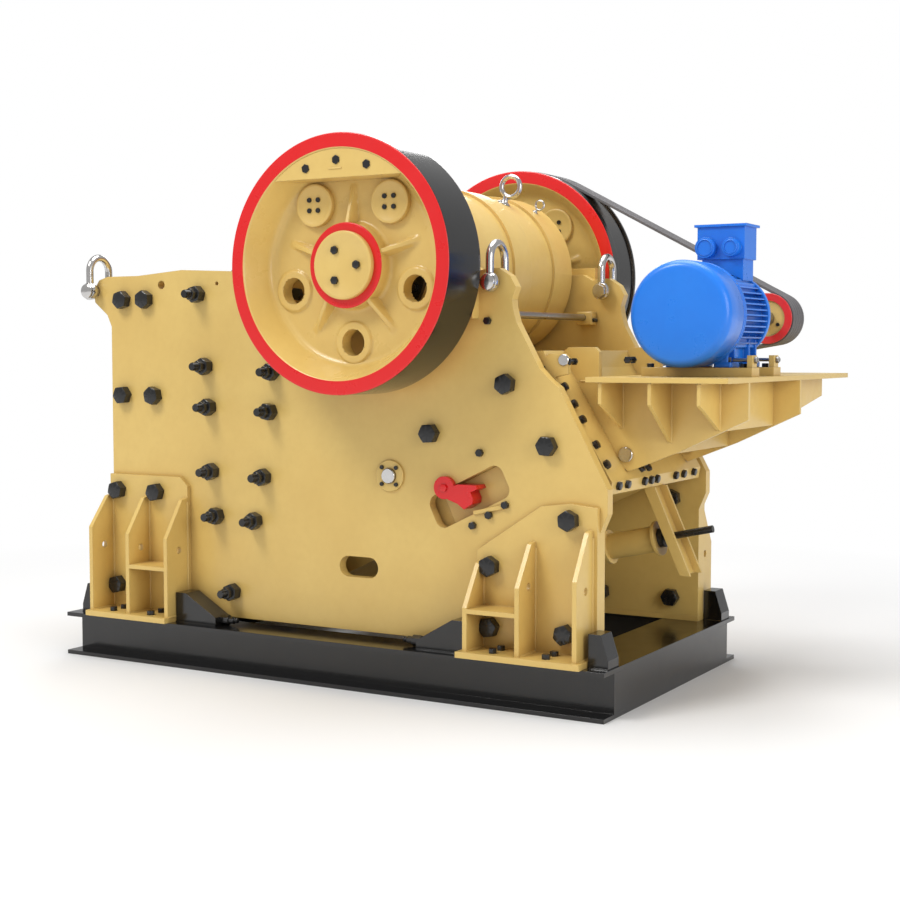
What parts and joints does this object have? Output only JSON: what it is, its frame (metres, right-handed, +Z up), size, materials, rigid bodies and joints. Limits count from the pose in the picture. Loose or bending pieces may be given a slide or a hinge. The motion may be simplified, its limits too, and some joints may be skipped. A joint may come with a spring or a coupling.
{
  "type": "single-toggle jaw crusher with flywheels, belt drive motor and base skid",
  "caption": "Jaw crusher of bolted side plates and frames on a beam skid, with two flywheels, eccentric shaft, pitman, toggle and rear-mounted electric motor.",
  "frame": {"origin": "centre of the four anchor holes, on the underside of the base skid", "axes": "+X along the skid from the feed end to the motor end, +Z up, -Y the side of the plain flywheel, +Y the side of the belt wheel"},
  "size_m": [3.54, 2.208, 2.5633],
  "materials": {
    "crusher_cream": "semi-gloss paint on castings and plate",
    "wheel_paint": "cream dish, red ring on the face, black rim",
    "skid_black": "high-gloss black paint",
    "black_paint": "gloss black paint",
    "red_paint": "gloss red paint",
    "motor_blue": "semi-gloss blue paint",
    "manganese_steel": "rough cast manganese steel",
    "machined_steel": "turned steel",
    "bright_plating": "bright zinc plate",
    "pulley_iron": "red face, cream hub, iron grooves",
    "belt_rubber": "matt grey rubber"
  },
  "bodies": {
    "frame": {"adjusting_wedges": "crusher_cream", "base_end_beam_front": "skid_black", "base_end_beam_rear": "skid_black", "base_side_beam_far": "skid_black", "base_side_beam_near": "skid_black", "bearing_housing_far": "black_paint", "bearing_housing_near": "black_paint", "bracket_diaphragms": "crusher_cream", "bracket_flange": "crusher_cream", "bracket_gusset_far": "crusher_cream", "bracket_gusset_near": "crusher_cream", "cheek_plate_far": "manganese_steel", "cheek_plate_near": "manganese_steel", "drive_belt": "belt_rubber", "fan_cover": "motor_blue", "fixed_jaw_liner": "manganese_steel", "foot_front_far": "crusher_cream", "foot_front_near": "crusher_cream", "foot_rear_far": "crusher_cream", "foot_rear_near": "crusher_cream", "front_frame": "crusher_cream", "front_frame_ribs": "crusher_cream", "motor_body": "motor_blue", "motor_deck": "crusher_cream", "motor_rails": "crusher_cream", "rear_frame": "crusher_cream", "setting_adjusters": "red_paint", "shackles_far": "bright_plating", "shackles_near": "bright_plating", "side_plate_far": "crusher_cream", "side_plate_near": "crusher_cream", "spreader_rod": "machined_steel", "spring_tube": "crusher_cream", "stop_blocks_far": "skid_black", "stop_blocks_near": "skid_black", "tension_rod": "black_paint", "tension_rod_bracket": "crusher_cream", "terminal_box": "motor_blue", "toggle_plate": "crusher_cream", "toggle_seat": "crusher_cream"},
    "rotor": {"eccentric_shaft": "machined_steel", "flywheel_near": "wheel_paint", "flywheel_far": "wheel_paint", "wheel_covers_near": "crusher_cream", "wheel_covers_far": "crusher_cream", "counterweight_near": "crusher_cream", "counterweight_far": "crusher_cream"},
    "swing_jaw": {"pitman": "crusher_cream", "moving_jaw_liner": "manganese_steel", "pitman_eyebolts": "bright_plating"},
    "motor_rotor": {"motor_shaft": "machined_steel", "motor_pulley": "pulley_iron"}
  },
  "joints": [
    {"name": "shaft_spin", "type": "hinge", "parent": "frame", "child": "rotor", "pos_m": [0.306, 0, 1.974], "axis": [0, 1, 0], "continuous": true},
    {"name": "pitman_orbit", "type": "hinge", "parent": "rotor", "child": "swing_jaw", "pos_m": [0.32038, 0, 1.98101], "axis": [0, 1, 0], "continuous": true},
    {"name": "motor_spin", "type": "hinge", "parent": "frame", "child": "motor_rotor", "pos_m": [1.7, 0, 1.751], "axis": [0, 1, 0], "continuous": true}
  ],
  "couplings": [
    {"joint": "pitman_orbit", "follows": "shaft_spin", "ratio": -1},
    {"joint": "motor_spin", "follows": "shaft_spin", "ratio": 4.5686}
  ]
}
